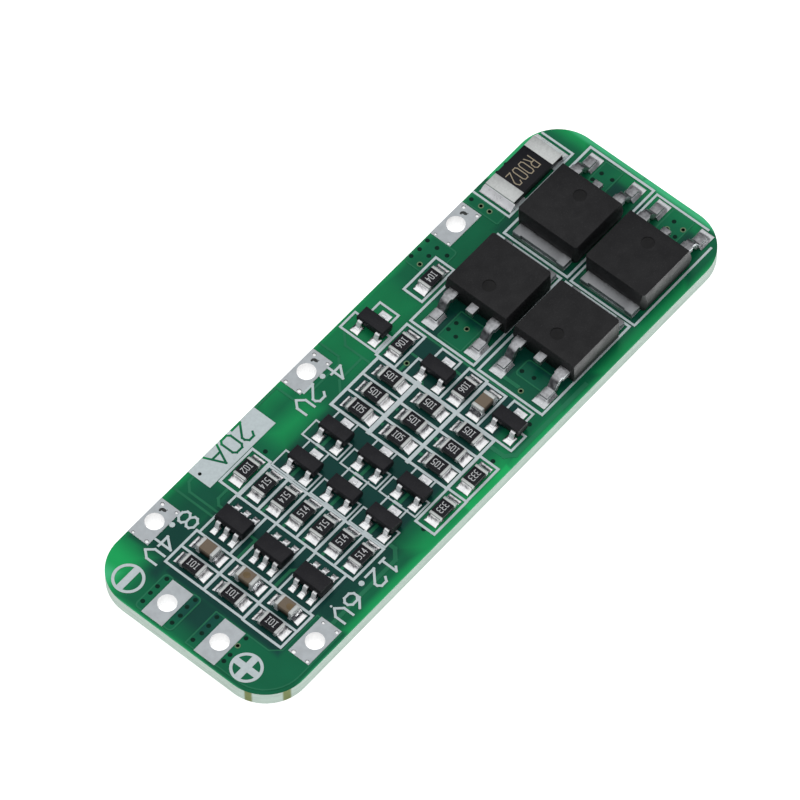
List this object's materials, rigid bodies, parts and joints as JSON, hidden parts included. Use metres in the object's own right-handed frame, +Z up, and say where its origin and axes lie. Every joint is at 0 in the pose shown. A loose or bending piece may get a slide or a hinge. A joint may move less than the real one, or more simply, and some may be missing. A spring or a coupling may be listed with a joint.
{
  "type": "battery management board",
  "caption": "Narrow green circuit board that guards a three-cell battery pack, with wire lands, power transistors, a shunt and rows of chip parts.",
  "frame": {"origin": "centre of the board's underside", "axes": "+X along the board away from the plus and minus end, +Y across it towards the edge with three tap lands, +Z up out of the component side"},
  "size_m": [0.059, 0.02, 0.0037],
  "materials": {
    "laminate": "glossy green solder mask on glass-fibre laminate",
    "laminate_edge": "pale cut edge of the laminate",
    "board_print": "white printed lines and numbers",
    "tinned_copper": "satin tin over copper",
    "solder": "bright, wetted solder",
    "moulding": "matte charcoal moulding compound",
    "resistor_coat": "black glazed coat on a ceramic chip",
    "capacitor_ceramic": "matte tan ceramic"
  },
  "bodies": {
    "root": {"board": "laminate", "battery_output_minus": "tinned_copper", "battery_output_plus": "tinned_copper", "battery_tap_12v6": "tinned_copper", "battery_tap_8v4": "tinned_copper", "battery_tap_4v2": "tinned_copper", "battery_tap_0v": "tinned_copper", "component_lands": "tinned_copper", "solder_joints": "solder", "power_transistor_1_body": "moulding", "power_transistor_2_body": "moulding", "power_transistor_3_body": "moulding", "power_transistor_4_body": "moulding", "power_transistor_1_lead_frame": "tinned_copper", "power_transistor_2_lead_frame": "tinned_copper", "power_transistor_3_lead_frame": "tinned_copper", "power_transistor_4_lead_frame": "tinned_copper", "shunt_body": "resistor_coat", "shunt_end_caps": "solder", "cell_monitor_1": "moulding", "cell_monitor_2": "moulding", "cell_monitor_3": "moulding", "transistor_1": "moulding", "transistor_2": "moulding", "transistor_3": "moulding", "transistor_4": "moulding", "transistor_5": "moulding", "transistor_6": "moulding", "transistor_7": "moulding", "transistor_8": "moulding", "transistor_9": "moulding", "capacitor_1": "capacitor_ceramic", "capacitor_2": "capacitor_ceramic", "capacitor_3": "capacitor_ceramic", "capacitor_4": "capacitor_ceramic", "resistor_101_1": "resistor_coat", "resistor_101_2": "resistor_coat", "resistor_101_3": "resistor_coat", "resistor_102": "resistor_coat", "resistor_514_1": "resistor_coat", "resistor_514_2": "resistor_coat", "resistor_514_3": "resistor_coat", "resistor_514_4": "resistor_coat", "resistor_514_5": "resistor_coat", "resistor_514_6": "resistor_coat", "resistor_105_1": "resistor_coat", "resistor_105_2": "resistor_coat", "resistor_105_3": "resistor_coat", "resistor_105_4": "resistor_coat", "resistor_105_5": "resistor_coat", "resistor_105_6": "resistor_coat", "resistor_105_7": "resistor_coat", "resistor_105_8": "resistor_coat", "resistor_105_9": "resistor_coat", "resistor_333_1": "resistor_coat", "resistor_333_2": "resistor_coat", "resistor_106_1": "resistor_coat", "resistor_106_2": "resistor_coat", "resistor_104": "resistor_coat"}
  },
  "joints": []
}
